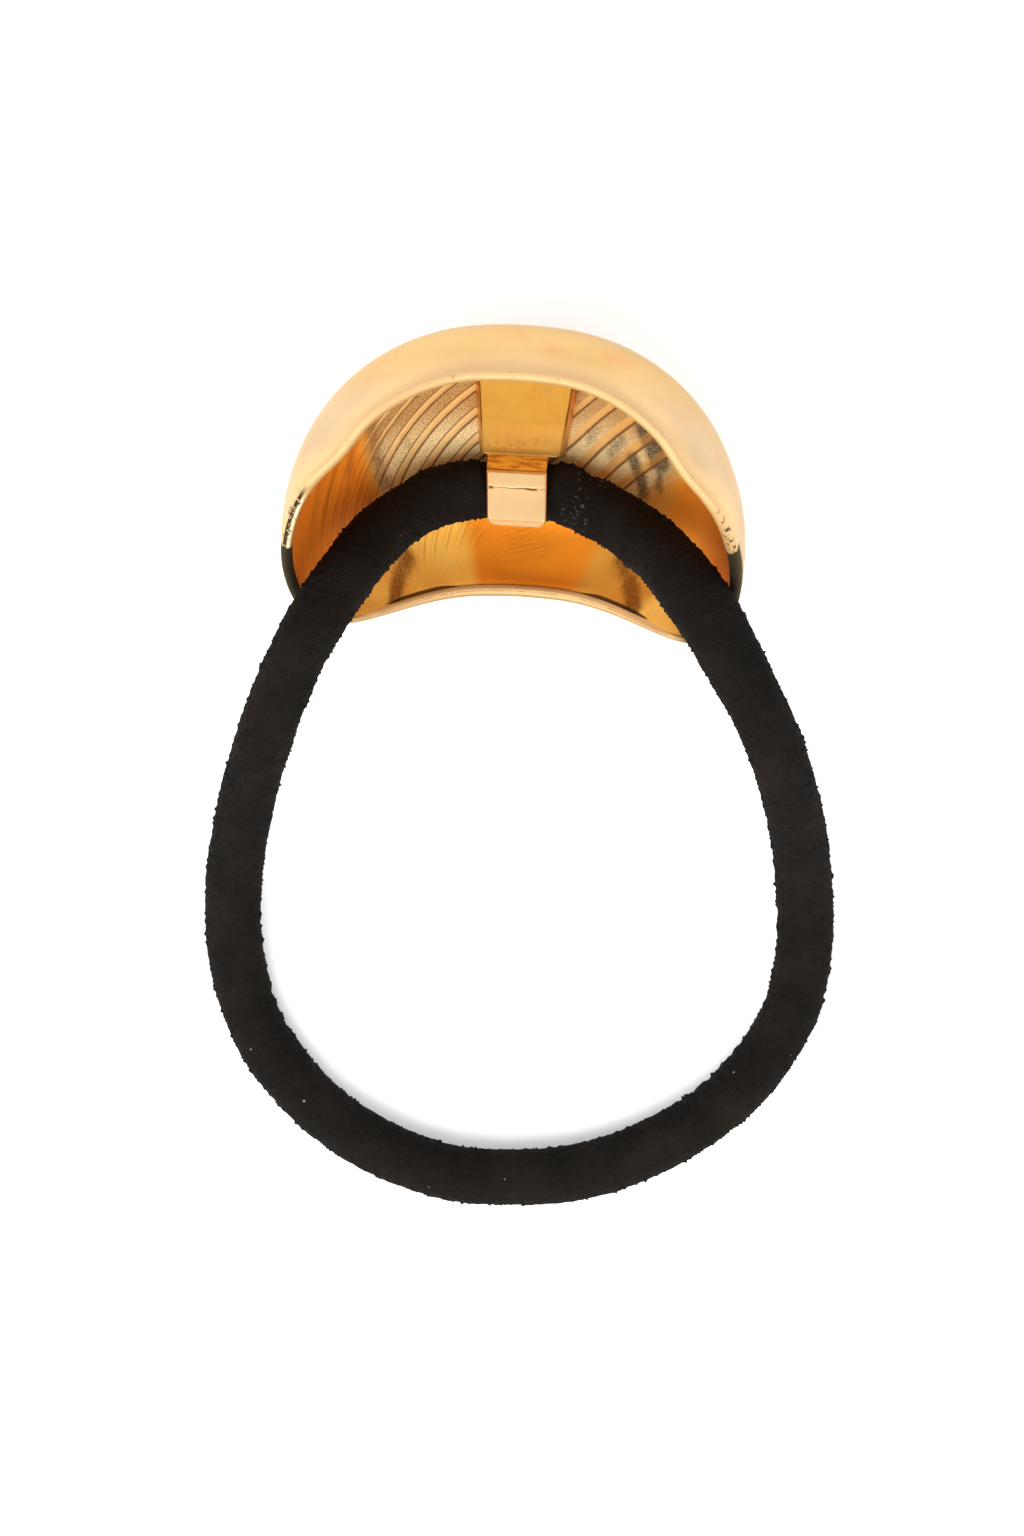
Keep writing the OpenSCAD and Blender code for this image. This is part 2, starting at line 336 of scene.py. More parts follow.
class Wire:
    """An output socket; arithmetic and methods on it add nodes."""

    def __init__(self, finish, socket):
        self.finish = finish
        self.socket = socket

    def maths(self, operation, *others):
        sockets = dict(enumerate((self,) + others))
        return self.finish.node("ShaderNodeMath", {"operation": operation}, sockets)

    def __add__(self, other):
        return self.maths("ADD", other)

    def __sub__(self, other):
        return self.maths("SUBTRACT", other)

    def __mul__(self, other):
        return self.maths("MULTIPLY", other)

    def __truediv__(self, other):
        return self.maths("DIVIDE", other)

    def __abs__(self):
        return self.maths("ABSOLUTE")

    def __rsub__(self, other):
        return self.finish.node("ShaderNodeMath", {"operation": "SUBTRACT"}, {0: other, 1: self})

    def ramp(self, low, high):
        """Turned into 0 to 1 between low and high, smoothly."""
        return self.finish.node("ShaderNodeMapRange", {"interpolation_type": "SMOOTHSTEP"},
                                {"Value": self, "From Min": low, "From Max": high})

    def near(self, place, full, none):
        """One within full of place, and zero beyond none."""
        return abs(self - place).ramp(none, full)

    def noise(self, scale, detail=3.0, roughness=0.55):
        """Noise at this place."""
        return self.finish.node("ShaderNodeTexNoise", None,
                                {"Vector": self, "Scale": scale, "Detail": detail,
                                 "Roughness": roughness})

    __radd__ = __add__
    __rmul__ = __mul__


class Finish:
    """A material being made: nodes are added by one method, and end in a Principled shader."""

    def __init__(self, name):
        self.material = bpy.data.materials.new(name)
        self.material.use_nodes = True
        self.tree = self.material.node_tree
        self.tree.nodes.clear()

    def node(self, kind, settings=None, sockets=None, out=0):
        made = self.tree.nodes.new(kind)
        for key, value in (settings or {}).items():
            if key == "stops":
                ramp = made.color_ramp
                while len(ramp.elements) < len(value):
                    ramp.elements.new(0.5)
                for element, (place, colour) in zip(ramp.elements, value):
                    element.position = place
                    element.color = colour
            else:
                setattr(made, key, value)
        for key, value in (sockets or {}).items():
            socket = made.inputs[key]
            if isinstance(value, Wire):
                self.tree.links.new(value.socket, socket)
            else:
                socket.default_value = value
        return Wire(self, made.outputs[out]) if made.outputs else None

    def mix(self, factor, first, second):
        """A colour between two colours, each a wire or red, green and blue."""
        first, second = (c if isinstance(c, Wire) else (*c, 1) for c in (first, second))
        return self.node("ShaderNodeMix", {"data_type": "RGBA"},
                         {0: factor, 6: first, 7: second}, 2)

    def coats(self, colour, *coats):
        """A colour with coats laid over it in turn, each a factor and a colour."""
        for factor, coat in coats:
            colour = self.mix(factor, colour, coat)
        return colour

    def object_place(self, scale=(1, 1, 1), turn=(0, 0, 0)):
        """Object coordinates, turned and stretched."""
        place = self.node("ShaderNodeTexCoord", None, None, 3)
        return self.node("ShaderNodeMapping", None,
                         {"Vector": place, "Rotation": turn, "Scale": scale})

    def wall_place(self, scale=(1, 1, 1), turn=(0, 0, 0)):
        """The piece's own UV map, in tenths of a metre, turned and stretched."""
        place = self.node("ShaderNodeUVMap", {"uv_map": "wall"})
        return self.node("ShaderNodeMapping", None,
                         {"Vector": place, "Rotation": turn, "Scale": scale})

    def wall_mm(self):
        """Place on the wall in millimetres, round the wrap and upwards."""
        return self.parts(self.wall_place(scale=(100, 100, 1)))

    def attribute(self, name):
        """A number kept at the piece's vertices."""
        return self.node("ShaderNodeAttribute", {"attribute_name": name}, None, 2)

    def dark_end_reflection(self, wrap, height):
        """Painted dark reflection of the elastic on the shell's two ends, below the place where the
        rim turns dark, lower on the left.
        """
        broken = self.object_place().noise(1500)
        place = height - wrap.ramp(-1, 1) * 2.7 - 1.8 + (broken - 0.5) * 0.8
        return place.ramp(0.15, -0.15) * abs(wrap).ramp(28.2, 28.8)

    def parts(self, vector):
        """The first two numbers of a vector."""
        split = self.node("ShaderNodeSeparateXYZ", None, {0: vector})
        outputs = split.socket.node.outputs
        return [Wire(self, outputs[k]) for k in range(2)]

    def bump(self, height, strength, distance):
        return self.node("ShaderNodeBump", None,
                         {"Height": height, "Strength": strength, "Distance": distance})

    def close(self, **sockets):
        """Ends the tree in a Principled shader with these sockets."""
        named = {key.replace("_", " "): value for key, value in sockets.items()}
        shader = self.node("ShaderNodeBsdfPrincipled", None, named)
        self.node("ShaderNodeOutputMaterial", None, {0: shader})
        return self.material


def outer_gold(sizes):
    """Smooth satin plating with faint cloudy blotches, a painted highlight along the rim and painted
    dark reflections at the two ends.
    """
    finish = Finish("outer gold")
    place = finish.object_place()
    wrap, height = finish.wall_mm()
    from_rim = finish.attribute("from_rim")
    clouds = place.noise(150).ramp(0.35, 0.72)
    blots = place.noise(260, 4, 0.6).near(0.62, 0.02, 0.06)
    grain = place.noise(2600, 2)
    # Painted highlight: lighter beside the near rim and on the lip next to the rim
    beside = from_rim.ramp(4.2, 0.8) * height.ramp(4, 9)
    lip = from_rim.ramp(1.1, 0.3)
    # Painted dark reflection of the elastic at the shell's two ends, next to the rim
    dark = finish.dark_end_reflection(wrap, height) * from_rim.ramp(0.9, 0.5)
    colour = finish.coats(
        sizes.gold,
        (clouds * 0.6, (0.555, 0.342, 0.135)),
        (blots * 0.35, (0.56, 0.28, 0.11)),
        (abs(wrap).ramp(14, 27) * 0.8, (0.50, 0.378, 0.255)),
        (beside * 0.8, (0.66, 0.44, 0.22)),
        (lip * 0.9, (0.70, 0.49, 0.26)),
        (dark, (0.045, 0.036, 0.026)))
    return finish.close(
        Base_Color=colour,
        Metallic=1.0,
        Roughness=0.30 + 0.10 * clouds + 0.05 * grain + 0.3 * lip,
        Specular_Tint=TINT,
        Normal=finish.bump(grain * 0.4 + clouds, 0.25, 0.00005),
    )


def inner_gold(sizes):
    """The ribbed inside: grainy and smooth bands between dark lines of painted shadow, and deep gold
    below, with painted light and dark reflections.
    """
    finish = Finish("inner gold")
    wall = finish.wall_place()
    wrap, height = finish.wall_mm()
    from_rim = finish.attribute("from_rim")
    across = wrap - (1.0 - RIB_TURN * wrap.ramp(-6, 6)) * height
    first, span, last = RIBS[0], RIBS[-1] - RIBS[0], len(RIBS) - 1
    stops = [((rib - first) / span, (k / last,) * 3 + (1,)) for k, rib in enumerate(RIBS)]
    count = finish.node("ShaderNodeValToRGB", {"stops": stops}, {0: (across - first) / span}) * last
    part = count.maths("FRACT")
    # Dark line at each rib's drop: painted shadow
    line = part.ramp(0.13, 0.05).maths("MAXIMUM", part.ramp(0.94, 0.985))
    second = abs(part - GRAINY_PART).ramp(0.055, 0.02) * wrap.ramp(2, -2)
    smooth_band = part.ramp(GRAINY_PART - 0.03, GRAINY_PART + 0.05)
    side = abs(wrap)
    wing = side.ramp(14, 17)
    right = wrap.ramp(2, 6)
    above = height.ramp(-13.5, -10.5)
    below = height.ramp(-7, -11)
    # Painted light: the ribs lighter further down, where the elastic shades them, and darker near
    # the rim
    lit = height.ramp(-2, -8)
    among = across.ramp(RIBS[-1], RIBS[-1] - 0.1) * across.ramp(first, first + 0.1)
    upper = above * among * (side - right * 3.5).ramp(15.8, 14.2)
    low_left = wrap.ramp(-3, -6) * height.ramp(-17.8, -16.2) * 0.3
    shown = (low_left + (1 - low_left) * above) * side.ramp(25.5, 20) * among
    shown = shown * (1 - wing * 0.8)

    def brushed(stretch, scale, roughness):
        place = finish.node("ShaderNodeCombineXYZ", None, {0: across * 0.1, 1: height * stretch})
        return place.noise(scale, 4, roughness)

    scratches = brushed(0.012, 60, 0.65)
    long_lines = brushed(0.005, 24, 0.7).ramp(0.47, 0.62)
    grain = wall.noise(520, 3, 0.75)
    patches = wall.noise(26).ramp(0.38, 0.66)
    ragged = wall.noise(110, 4, 0.75)
    shades = (finish.attribute("shade") + (ragged - 0.5) * 0.9).ramp(0.1, 0.95)
    shades = shades * (0.6 + 0.4 * grain.ramp(0.6, 0.42))

    winged = finish.coats(
        (0.80, 0.225, 0.013),
        # Painted light: the right wing lighter, to make up for the elastic's shadow on it
        (right, (0.94, 0.34, 0.025)),
        (right * side.ramp(19, 26), (0.56, 0.135, 0.006)),
        (long_lines * (0.8 - 0.75 * right), (0.38, 0.10, 0.010)))
    deep = finish.coats(
        sizes.inner_gold,
        (patches * 0.4, (0.85, 0.36, 0.04)),
        (wing * height.ramp(-15, -12), winged),
        (right * height.ramp(-13, -15.5), (0.64, 0.29, 0.042)),
        # Painted reflection: the lower middle deeper orange, for gold light reflected inside the
        # shell
        (height.ramp(-6, -10) * wrap.near(1.3, 6.6, 9.6), (0.74, 0.23, 0.015)),
        (height.ramp(-13, -15.5) * side.ramp(20, 22.5) * 0.8, (1.0, 0.66, 0.16)))
    rough = grain.ramp(0.38, 0.62)
    grainy = finish.coats(
        finish.mix(rough, (0.27, 0.135, 0.036), (0.62, 0.34, 0.11)),
        (lit, finish.mix(rough, (0.80, 0.51, 0.205), (1.0, 0.90, 0.50))),
        (right * 0.25, (0.40, 0.24, 0.09)))
    # The smooth bands are lighter partly for their polish and partly as painted reflection
    edge = finish.coats(
        (0.76, 0.43, 0.14),
        (lit, (0.98, 0.64, 0.26)),
        (right * across.ramp(0, 17) * 0.7, (0.72, 0.36, 0.080)))
    tone = finish.coats(
        (0.22, 0.066, 0.010),
        (above, (0.24, 0.080, 0.017)),
        (above * right, (0.045, 0.030, 0.014)))
    thick = side.near(18, 3, 8) * 0.18 + 0.03
    seam = (abs(from_rim - 0.3 - thick) - thick).ramp(0.06, -0.04)
    seam = seam * height.ramp(0, -6) * side.ramp(24.5, 23.5)
    lip = from_rim.ramp(0.34, 0.26) * side.ramp(27, 24) * height.ramp(0, -6)
    colour = finish.coats(
        deep,
        (upper, finish.mix(smooth_band, grainy, edge)),
        (grain.ramp(0.5, 0.8) * (1 - upper) * 0.3, (0.30, 0.11, 0.016)),
        (shades * (1 - 0.3 * smooth_band * upper), tone),
        (line.maths("MAXIMUM", second * 0.8) * shown * 0.85, (0.16, 0.065, 0.016)),
        (scratches.ramp(0.52, 0.74) * 0.3, (0.45, 0.22, 0.07)),
        (seam * 0.9, (0.05, 0.02, 0.008)),
        (lip, (0.80, 0.52, 0.25)))
    dull = upper * (1 - smooth_band)
    uneven = scratches * 0.5 + grain * 0.5 * (0.3 + dull) - line * shown
    return finish.close(
        Base_Color=colour,
        Metallic=1.0 - (0.65 + 0.2 * wing * (1 - right)) * height.ramp(-15, -10),
        Roughness=0.25 + 0.10 * scratches + 0.20 * (dull + wing * right) + 0.22 * below,
        Normal=finish.bump(uneven, 0.6, 0.00006),
    )


def rim_gold(sizes):
    """The polished edge, bright, with small dark nicks that crowd at the shell's two ends; painted
    highlight and shade across it, and painted dark reflections and a white highlight at the ends.
    """
    finish = Finish("rim gold")
    place = finish.object_place()
    wrap, height = finish.wall_mm()
    around = finish.attribute("around")
    side = abs(wrap)
    left = wrap.ramp(1, -1)
    far = height.ramp(2, -2)
    ends = side.ramp(29.8, 31.0) * height.ramp(-16, -12)
    nicks = place.noise(900, 4, 0.7).ramp(0.6, 0.72)
    # Specks at the ends: nicks in relief, painted dark as reflections
    specks = place.noise(1700, 4, 0.75).ramp(0.52, 0.60)
    specks = specks * ends * height.ramp(10.5, 7.5) * around.ramp(-40, 10)
    broken = finish.wall_place().noise(45).ramp(0.35, 0.55)
    fine = around.near(-62, 4, 10).maths("MAXIMUM", around.near(-34, 2, 7) * 0.6)
    # Painted highlight: a white stripe along the left end
    white_highlight = around.near(-8, 10, 20) * left * ends * height.ramp(9.5, 7.5)
    inside = around.ramp(-60, -76) * side.ramp(27, 29.5)
    # Painted dark reflection: a stripe along the left end, broken up
    dark_stripe_reflection = around.near(34, 15, 24) * left * ends * height.ramp(10.5, 8.5)
    dark_stripe_reflection = dark_stripe_reflection * (1 - 0.8 * place.noise(2600, 2).ramp(0.56, 0.64))
    # Painted dark reflections at the ends: lower down, the stripe and the specks
    dark = finish.dark_end_reflection(wrap, height) * height.ramp(-15, -12)
    dark = dark.maths("MAXIMUM", dark_stripe_reflection).maths("MAXIMUM", specks * 0.9)
    # Painted highlight and shade: lighter towards the outer face, darker towards the inner, most on
    # the far rim
    under = finish.mix(far, (0.46, 0.29, 0.12), (0.58, 0.385, 0.185))
    colour = finish.coats(
        (0.54, 0.365, 0.178),
        (around.ramp(40, 70), (0.68, 0.46, 0.24)),
        (around.ramp(45, -30), under),
        (far * around.ramp(-38, -12) * 0.8, (0.43, 0.275, 0.130)),
        (white_highlight, (0.84, 0.71, 0.50)),
        (nicks * 0.3, (0.36, 0.19, 0.07)),
        (fine * broken * 0.55, (0.34, 0.16, 0.05)),
        (inside * 0.85, (0.09, 0.035, 0.012)),
        (dark, (0.040, 0.030, 0.020)))
    return finish.close(
        Base_Color=colour,
        Metallic=1.0,
        Roughness=0.66 + 0.2 * nicks,
        Specular_Tint=TINT,
        Normal=finish.bump(place.noise(1200, 2) - specks - fine * 0.5, 0.3, 0.00005),
    )


def strap_gold(sizes, tab_from):
    """The smooth strap with marks along it, the creased neck, and the paler polished tab, with
    painted shade at the foot, neck and tab's root, and a painted reflection at the tab's end.
    """
    finish = Finish("strap gold")
    y = finish.parts(finish.object_place(scale=(1000, 1000, 1000)))[1]
    start = tab_from * 1000
    end = start + (TAB_END - TAB_ROOT) * 1000
    tab = y.ramp(start + 0.06, start - 0.06)
    foot = y.ramp(start + 4.6, start + 2.4) * (1 - tab)
    neck = y.ramp(start + 1.46, start + 1.38) * (1 - tab)
    low_edge = y.ramp(end + 0.55, end + 0.3)
    clouds = finish.object_place().noise(420).ramp(0.35, 0.7)
    streaks = finish.object_place(scale=(1, 0.16, 0.16)).noise(1700, 4, 0.62)
    marks = finish.object_place(scale=(1, 0.35, 0.35)).noise(800).ramp(0.56, 0.7)
    mottle = finish.object_place(scale=(1, 0.5, 0.5)).noise(2600).ramp(0.5, 0.7)
    creases = finish.object_place(scale=(0.25, 1, 1)).noise(2200, 2).ramp(0.45, 0.62)
    # Painted shade: the strap darker towards its foot and darkest at the valley by the neck
    footed = finish.coats(
        (0.44, 0.23, 0.034),
        (y.ramp(start + 2.2, start + 1.5), (0.30, 0.155, 0.022)),
        (mottle * 0.5, (0.26, 0.12, 0.02)))
    polished = finish.coats(
        sizes.tab_gold,
        (clouds * 0.3, (0.63, 0.40, 0.18)),
        (y.ramp(start - 1.3, start - 2.6), (0.575, 0.378, 0.183)))
    colour = finish.coats(
        sizes.strap_gold,
        (clouds * 0.5, (0.78, 0.34, 0.048)),
        (streaks.ramp(0.5, 0.72) * 0.3, (0.60, 0.26, 0.04)),
        (marks * 0.3, (0.60, 0.33, 0.10)),
        (foot * (0.95 - 0.35 * marks), footed),
        # Painted shade and highlight: the neck darker, with light and dark streaks along its creases
        (neck, finish.mix(creases, (0.84, 0.48, 0.055), (0.50, 0.21, 0.025))),
        # Painted shadow: a dark line where the neck meets the raised tab
        (y.near(start + 0.1, 0.03, 0.09) * 0.75, (0.14, 0.06, 0.015)),
        (tab, polished),
        (finish.attribute("seam") * 0.95, (0.09, 0.045, 0.014)),
        # Painted shade on the tab's rounded end, to tone down its highlight
        (low_edge * 0.8, (0.52, 0.33, 0.155)),
        # Painted reflection: a dark line where the tab's face turns into its rounded end
        (y.near(end + 0.45, 0.02, 0.07) * 0.6, (0.30, 0.15, 0.05)))
    return finish.close(
        Base_Color=colour,
        Metallic=1.0 - 0.75 * foot,
        Roughness=0.24 + 0.12 * streaks + 0.14 * foot + 0.4 * low_edge,
        Normal=finish.bump(streaks * (1 - 0.7 * tab), 0.3, 0.00005),
    )


def knit_black(sizes):
    """Fine knitted cover: rows of stitches round the cord, fuzz, specks of lint, a glued joint."""
    finish = Finish("knitted black")
    turn, along = finish.parts(finish.wall_place())
    place = finish.object_place()
    row = 0.0030
    leaning = abs((turn * sizes.wales).maths("FRACT") - 0.5)
    stitch = ((along / row + leaning * 0.8) * math.tau).maths("SINE") * 0.5 + 0.5
    fuzz = place.noise(3800, 3, 0.7)
    broken = place.noise(900, 3, 0.6).ramp(0.35, 0.65)
    knit = stitch * leaning.ramp(0.5, 0.3) * broken
    worn = place.noise(200, 3, 0.6).ramp(0.4, 0.75)
    dots, chosen = (
        finish.node("ShaderNodeTexVoronoi", None, {"Vector": place, "Scale": 620.0}, out)
        for out in (0, 1))
    lint = dots.ramp(0.10, 0.05) * finish.parts(chosen)[0].ramp(0.86, 0.88)
    joint_from, joint_to = (place_along * 10 for place_along in JOINT)
    glued = along.ramp(joint_from, joint_from + 0.01)
    glued = glued * along.ramp(joint_to, joint_to - 0.01)
    flecks = place.noise(2400, 3, 0.6).ramp(0.60, 0.66) * glued
    colour = finish.coats(
        (0.0036, 0.0029, 0.0023),
        (knit * 0.4 + fuzz * 0.4, sizes.black),
        (worn * 0.35, (0.0170, 0.0115, 0.0082)),
        (lint * 0.5, (0.30, 0.29, 0.27)),
        (flecks * 0.4, (0.09, 0.09, 0.09)))
    return finish.close(
        Base_Color=colour,
        Roughness=0.95 - 0.6 * flecks,
        Specular_IOR_Level=0.08,
        Normal=finish.bump(knit * 0.6 + fuzz * 0.5, 0.8, 0.00012),
    )


def add_mesh(bm, name, materials):
    """Turns a bmesh into an object in the scene."""
    mesh = bpy.data.meshes.new(name)
    bm.to_mesh(mesh)
    bm.free()
    for material in materials:
        mesh.materials.append(material)
    piece = bpy.data.objects.new(name, mesh)
    bpy.context.scene.collection.objects.link(piece)
    return piece


def finish_mesh(bm, name, materials):
    """Adds a smooth piece that rides on the object."""
    piece = add_mesh(bm, name, materials)
    piece.data.shade_smooth()
    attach(piece, "root")
    return piece


class CuffSizes(bpy.types.PropertyGroup):
    """Sizes and colours of the cuff."""

    wrap_half: bpy.props.FloatProperty(
        name="Half wrap", description="Half of the shell's width along the wall",
        default=0.0318, min=0.031, max=0.0325, unit="LENGTH")
    height_half: bpy.props.FloatProperty(
        name="Half height", description="Half of the shell's height along the wall",
        default=0.0217, min=0.021, max=0.0225, unit="LENGTH")
    end_power: bpy.props.FloatProperty(
        name="End power", description="Power of the outline towards its two ends",
        default=2.2, min=2.0, max=2.5)
    rim_power: bpy.props.FloatProperty(
        name="Rim power", description="Power of the outline towards its two long rims",
        default=4.15, min=3.8, max=4.6)
    crown_radius: bpy.props.FloatProperty(
        name="Crown radius", description="Radius of the arch over the crown",
        default=0.031, min=0.029, max=0.034, unit="LENGTH")
    crown_half: bpy.props.FloatProperty(
        name="Half crown", description="Half of the arc that has the crown's radius",
        default=0.0042, min=0.0036, max=0.005, unit="LENGTH")
    shoulder_radius: bpy.props.FloatProperty(
        name="Shoulder radius", description="Radius of the arch over the two shoulders",
        default=0.0174, min=0.017, max=0.018, unit="LENGTH")
    belly_radius: bpy.props.FloatProperty(
        name="Belly radius", description="Radius of the wall from rim to rim, in its middle",
        default=0.0245, min=0.023, max=0.027, unit="LENGTH")
    belly_half: bpy.props.FloatProperty(
        name="Half belly", description="Half of the arc that has the belly's radius",
        default=0.0071, min=0.0065, max=0.0076, unit="LENGTH")
    lip_radius: bpy.props.FloatProperty(
        name="Lip radius", description="Radius of the wall towards each long rim",
        default=0.01265, min=0.0123, max=0.0132, unit="LENGTH")
    wall: bpy.props.FloatProperty(
        name="Wall", description="Thickness of the shell's wall",
        default=0.001, min=0.0008, max=0.0012, unit="LENGTH")
    pinch: bpy.props.FloatProperty(
        name="Pinch", description="Depth of the pinch in the wall at the near rim's ends",
        default=0.0006, min=0, max=0.0008, unit="LENGTH")
    rib_step: bpy.props.FloatProperty(
        name="Rib step", description="Height of the ribs inside the shell",
        default=0.00014, min=0.00005, max=0.0002, unit="LENGTH")
    lean: bpy.props.FloatProperty(
        name="Lean", description="Angle by which the shell leans back as it lies",
        default=math.radians(36), min=math.radians(34), max=math.radians(38), subtype="ANGLE")
    gold: bpy.props.FloatVectorProperty(
        name="Gold", description="Colour of the outer plating",
        default=(0.545, 0.362, 0.158), min=0, max=1, subtype="COLOR")
    inner_gold: bpy.props.FloatVectorProperty(
        name="Inner gold", description="Colour of the plating inside the shell",
        default=(0.90, 0.49, 0.09), min=0, max=1, subtype="COLOR")
    strap_gold: bpy.props.FloatVectorProperty(
        name="Strap gold", description="Colour of the strap",
        default=(0.81, 0.395, 0.064), min=0, max=1, subtype="COLOR")
    tab_gold: bpy.props.FloatVectorProperty(
        name="Tab gold", description="Colour of the keeper's tab",
        default=(0.65, 0.43, 0.205), min=0, max=1, subtype="COLOR")


class ElasticSizes(bpy.types.PropertyGroup):
    """Sizes and colours of the elastic loop."""

    diameter: bpy.props.FloatProperty(
        name="Diameter", description="Thickness of the elastic cord",
        default=0.005, min=0.0046, max=0.005, unit="LENGTH")
    wales: bpy.props.IntProperty(
        name="Wales", description="Columns of stitches round the cord",
        default=36, min=20, max=48)
    black: bpy.props.FloatVectorProperty(
        name="Black", description="Colour of the knitted cover",
        default=(0.0098, 0.0077, 0.0058), min=0, max=1, subtype="COLOR")


class StageSizes(bpy.types.PropertyGroup):
    """The view and the light."""

    focal: bpy.props.FloatProperty(
        name="Focal length", description="The lens, in millimetres on a 36 mm high frame",
        default=210.2, min=50, max=400)
    roll: bpy.props.FloatProperty(
        name="Roll", description="How far the view is turned about its own axis",
        default=math.radians(3.1), subtype="ANGLE")
    sky: bpy.props.FloatProperty(
        name="Sky", description="Strength of the even light from all round",
        default=0.86, min=0, max=5)
    key: bpy.props.FloatProperty(
        name="Key", description="Power of the large soft light", default=1.4, min=0, unit="POWER")
    front: bpy.props.FloatProperty(
        name="Front", description="Power of the soft light that shines into the shell",
        default=4.6, min=0, unit="POWER")
    side: bpy.props.FloatProperty(
        name="Side", description="Power of the two low lights that shine in under the elastic",
        default=1.1, min=0, unit="POWER")


class HAIRTIE_OT_camera(bpy.types.Operator):
    """Looks almost straight down on the hair tie, as the photograph does"""

    bl_idname = "hairtie.camera"
    bl_label = "Camera"

    def execute(self, context):
        stage = context.scene.hair_tie_stage
        place = Vector((0.0363, 0.0102, 0.7793))
        aim = Vector((0.0002, -0.0252, 0.0025))
        ahead = (aim - place).normalized()
        level = Vector((-math.sin(stage.roll), math.cos(stage.roll), 0))
        right = ahead.cross(level).normalized()
        up = right.cross(ahead)
        data = bpy.data.cameras.new("camera")
        data.sensor_fit = "VERTICAL"
        data.sensor_height = 36
        data.lens = stage.focal
        data.clip_start = 0.01
        data.clip_end = 20
        camera = bpy.data.objects.new("camera", data)
        turned = Matrix((right, up, -ahead)).transposed().to_4x4()
        camera.matrix_world = Matrix.Translation(place) @ turned
        context.scene.collection.objects.link(camera)
        context.scene.camera = camera
        return {"FINISHED"}


def knit_swell(along, turn, spot):
    """How far the knitted surface stands out from the even cord at one point."""
    swell = noise.noise(spot * 900) * 0.00008 + noise.noise(spot * 2400) * 0.00008
    swell += noise.noise(spot * 220) * 0.00006
    swell += max(0.0, noise.noise(spot * 4300) - 0.3) * 0.0005
    inside = smooth(0.35, 0.95, math.cos(turn))
    for middle, half, depth in WRINKLES:
        near = smooth(half, half * 0.4, abs(along - middle))
        wave = math.sin(math.tau * along / 0.0016 + 2 * noise.noise(spot * 300))
        swell -= depth * near * inside * (0.5 + 0.5 * wave)
    for start, full, last, end, side, height in SWELLINGS:
        near = smooth(start, full, along) * smooth(end, last, along)
        swell += height * near * smooth(0, 0.9, side * 0.85 * math.cos(turn) + 0.5 * math.sin(turn))
    glued = smooth(JOINT[0], JOINT[0] + 0.0004, along) * smooth(JOINT[1], JOINT[1] - 0.0005, along)
    step = smooth(JOINT[0] + 0.0017, JOINT[0] + 0.0021, along)
    return swell + glued * (0.00004 + 0.00008 * step + noise.noise(spot * 1300) * 0.00009)


class HAIRTIE_OT_elastic(bpy.types.Operator):
    """The closed loop of elastic cord, through the keeper and round on the table"""

    bl_idname = "hairtie.elastic"
    bl_label = "Elastic loop"

    def execute(self, context):
        sizes = context.scene.hair_tie_elastic
        rings, sides = 1240, 76
        line, length = even_line([Vector(metres(p)) for p in ROUTE], rings)
        bm = bmesh.new()
        bmesh.ops.create_grid(bm, x_segments=rings, y_segments=sides, size=0.5)
        uv = bm.loops.layers.uv.new("wall")
        for face in bm.faces:
            for loop in face.loops:
                co = loop.vert.co
                loop[uv].uv = (co.y + 0.5, (co.x + 0.5) * length * 10)
        for vert in bm.verts:
            k = round((vert.co.x + 0.5) * rings) % rings
            turn = math.tau * (vert.co.y + 0.5)
            along = (line[(k + 1) % rings] - line[k - 1]).normalized()
            side = along.cross(Vector((0, 0, 1))).normalized()
            up = side.cross(along)
            out = math.cos(turn) * side + math.sin(turn) * up
            spot = line[k] + out * sizes.diameter / 2
            swell = knit_swell(length * k / rings, turn, spot)
            vert.co = line[k] + out * (sizes.diameter / 2 - KNIT_SINK + swell)
            vert.co.z = max(vert.co.z, 0)
        bmesh.ops.remove_doubles(bm, verts=bm.verts[:], dist=1e-6)
        bmesh.ops.recalc_face_normals(bm, faces=bm.faces[:])
        cord = finish_mesh(bm, "elastic_cord", [knit_black(sizes)])
        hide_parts("elastic_loop")
        keeper_half, every = 0.0028, 6
        skip = math.ceil(keeper_half / length * rings)
        return {"FINISHED"}


